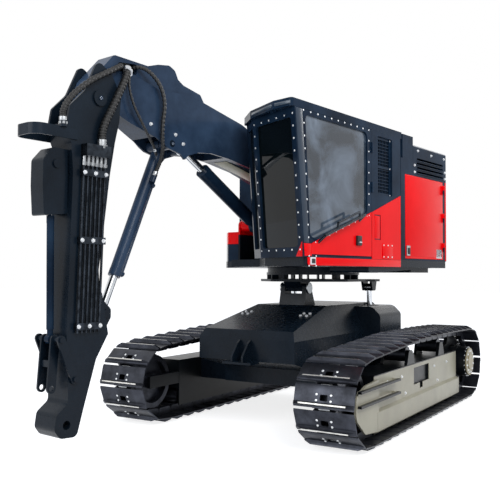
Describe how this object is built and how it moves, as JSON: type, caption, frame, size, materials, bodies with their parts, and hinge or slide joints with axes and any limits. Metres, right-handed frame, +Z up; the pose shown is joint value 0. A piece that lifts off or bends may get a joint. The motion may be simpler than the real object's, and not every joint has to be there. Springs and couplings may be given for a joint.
{
  "type": "tracked forestry harvester",
  "caption": "Tracked forestry harvester with a levelling table, swinging cab and engine house, cranked boom, hanging stick and a link for a felling tool.",
  "frame": {"origin": "on the ground, at the middle of the machine's length and width as it is parked", "axes": "+X towards the tracks' front, +Y to the machine's left, +Z up; the upper is parked turned 7.5 degrees to the right"},
  "size_m": [6.8026, 3.246, 3.9499],
  "materials": {
    "black_paint": "gloss",
    "red_paint": "gloss",
    "track_steel": "worn",
    "frame_black": "satin",
    "pin_steel": "satin",
    "rod_chrome": "polished",
    "tinted_glass": "tinted",
    "seat_cloth": "woven",
    "console_plastic": "grained",
    "engine_iron": "painted",
    "tube_steel": "satin"
  },
  "bodies": {
    "undercarriage": {"car_body": "frame_black", "table_pins": "pin_steel", "track_left": "track_steel", "track_right": "track_steel", "track_frame_left": "frame_black", "track_frame_right": "frame_black", "final_drive_left": "frame_black", "final_drive_right": "frame_black", "rollers_left": "track_steel", "rollers_right": "track_steel"},
    "tilt_table": {"tilt_table": "frame_black"},
    "level_barrels": {"level_barrels": "frame_black"},
    "level_rods": {"level_rods": "rod_chrome"},
    "upper": {"upper_base": "frame_black", "boom_tower": "red_paint", "tower_pins": "pin_steel", "cab_shell": "black_paint", "cab_glass": "tinted_glass", "cab_roof": "black_paint", "side_panel": "red_paint", "mesh_grille": "black_paint", "seat": "seat_cloth", "controls": "console_plastic", "engine_house": "black_paint", "engine": "engine_iron", "rear_grille": "black_paint", "counterweight": "red_paint", "tool_box": "black_paint"},
    "cab_door": {"cab_door": "black_paint", "door_glass": "tinted_glass", "door_panel": "red_paint", "handrail": "pin_steel"},
    "engine_door": {"engine_door": "red_paint"},
    "box_lid": {"box_lid": "red_paint"},
    "boom": {"boom": "black_paint", "boom_pins": "pin_steel"},
    "lift_barrels": {"lift_barrels": "black_paint"},
    "lift_rods": {"lift_rods": "rod_chrome"},
    "stick": {"stick": "black_paint", "stick_pins": "pin_steel", "tool_guard": "black_paint", "hose_hoop": "frame_black", "stick_tubes": "tube_steel"},
    "stick_barrel": {"stick_barrel": "black_paint"},
    "stick_rod": {"stick_rod": "rod_chrome"},
    "tool_link": {"tool_link": "frame_black"},
    "tool_barrel": {"tool_barrel": "black_paint"},
    "tool_rod": {"tool_rod": "rod_chrome"},
    "tool_hanger": {"tool_hanger": "frame_black"}
  },
  "joints": [
    {"name": "tilt", "type": "hinge", "parent": "undercarriage", "child": "tilt_table", "pos_m": [-0.54871, 0, 1.6], "axis": [0, 1, 0], "range_deg": [-5, 18]},
    {"name": "level_turn", "type": "hinge", "parent": "undercarriage", "child": "level_barrels", "pos_m": [-1.63871, 0, 0.8], "axis": [0, 1, 0], "range_deg": [-0.1911, 0.6461]},
    {"name": "level_slide", "type": "slide", "parent": "level_barrels", "child": "level_rods", "axis": [0.0872, 0, 0.9962], "range_m": [-0.0962, 0.3254]},
    {"name": "swing", "type": "hinge", "parent": "tilt_table", "child": "upper", "pos_m": [-1.01871, 0, 1.8], "axis": [0, 0, 1], "continuous": true},
    {"name": "cab_door_turn", "type": "hinge", "parent": "upper", "child": "cab_door", "pos_m": [-0.10061, 1.2331, 2.6], "axis": [0, 0, 1], "range_deg": [0, 100]},
    {"name": "engine_door_turn", "type": "hinge", "parent": "upper", "child": "engine_door", "pos_m": [-2.01423, 1.48402, 2.4], "axis": [0, 0, 1], "range_deg": [0, 110]},
    {"name": "box_lid_turn", "type": "hinge", "parent": "upper", "child": "box_lid", "pos_m": [-1.08713, -0.89873, 2.36], "axis": [-0.13, -0.9915, 0], "range_deg": [0, 80]},
    {"name": "boom_lift", "type": "hinge", "parent": "upper", "child": "boom", "pos_m": [-0.67168, -0.0455, 2.45], "axis": [-0.13, -0.9915, 0], "range_deg": [-12, 36]},
    {"name": "lift_turn", "type": "hinge", "parent": "upper", "child": "lift_barrels", "pos_m": [0.18598, -0.15796, 2.366], "axis": [-0.13, -0.9915, 0], "range_deg": [-16.94, 48.31]},
    {"name": "lift_slide", "type": "slide", "parent": "lift_barrels", "child": "lift_rods", "axis": [0.8552, -0.1121, 0.5061], "range_m": [-0.1437, 0.4099]},
    {"name": "stick_crowd", "type": "hinge", "parent": "boom", "child": "stick", "pos_m": [2.68955, -0.48623, 3.42], "axis": [-0.13, -0.9915, 0], "range_deg": [-12, 45]},
    {"name": "stick_turn", "type": "hinge", "parent": "boom", "child": "stick_barrel", "pos_m": [1.78529, -0.36766, 3.119], "axis": [-0.13, -0.9915, 0], "range_deg": [-11.21, 39.38]},
    {"name": "stick_slide", "type": "slide", "parent": "stick_barrel", "child": "stick_rod", "axis": [0.3974, -0.0521, -0.9162], "range_m": [-0.2032, 0.7134]},
    {"name": "tool_link_turn", "type": "hinge", "parent": "stick", "child": "tool_link", "pos_m": [2.94734, -0.52003, 0.83], "axis": [-0.13, -0.9915, 0], "range_deg": [-70, 0]},
    {"name": "tool_barrel_turn", "type": "hinge", "parent": "tool_link", "child": "tool_barrel", "pos_m": [3.09607, -0.53953, 1.19], "axis": [-0.13, -0.9915, 0], "range_deg": [-1.57, 80.18]},
    {"name": "tool_rod_slide", "type": "slide", "parent": "tool_barrel", "child": "tool_rod", "axis": [0.0095, -0.0012, 1], "range_m": [-0.0072, 0.3685]},
    {"name": "tool_hanger_turn", "type": "hinge", "parent": "tool_link", "child": "tool_hanger", "pos_m": [3.09607, -0.53953, 1.19], "axis": [-0.13, -0.9915, 0], "range_deg": [-1.4, 71.4]}
  ],
  "couplings": [
    {"joint": "level_turn", "follows": "tilt", "ratio": 0.035},
    {"joint": "level_slide", "follows": "tilt", "m_per_rad": 1.01},
    {"joint": "lift_turn", "follows": "boom_lift", "ratio": 1.307},
    {"joint": "lift_slide", "follows": "boom_lift", "m_per_rad": 0.6355},
    {"joint": "stick_turn", "follows": "stick_crowd", "ratio": 0.8534},
    {"joint": "stick_slide", "follows": "stick_crowd", "m_per_rad": 0.8859},
    {"joint": "tool_barrel_turn", "follows": "tool_link_turn", "ratio": -1.123},
    {"joint": "tool_rod_slide", "follows": "tool_link_turn", "m_per_rad": -0.2957},
    {"joint": "tool_hanger_turn", "follows": "tool_link_turn", "ratio": -1}
  ]
}
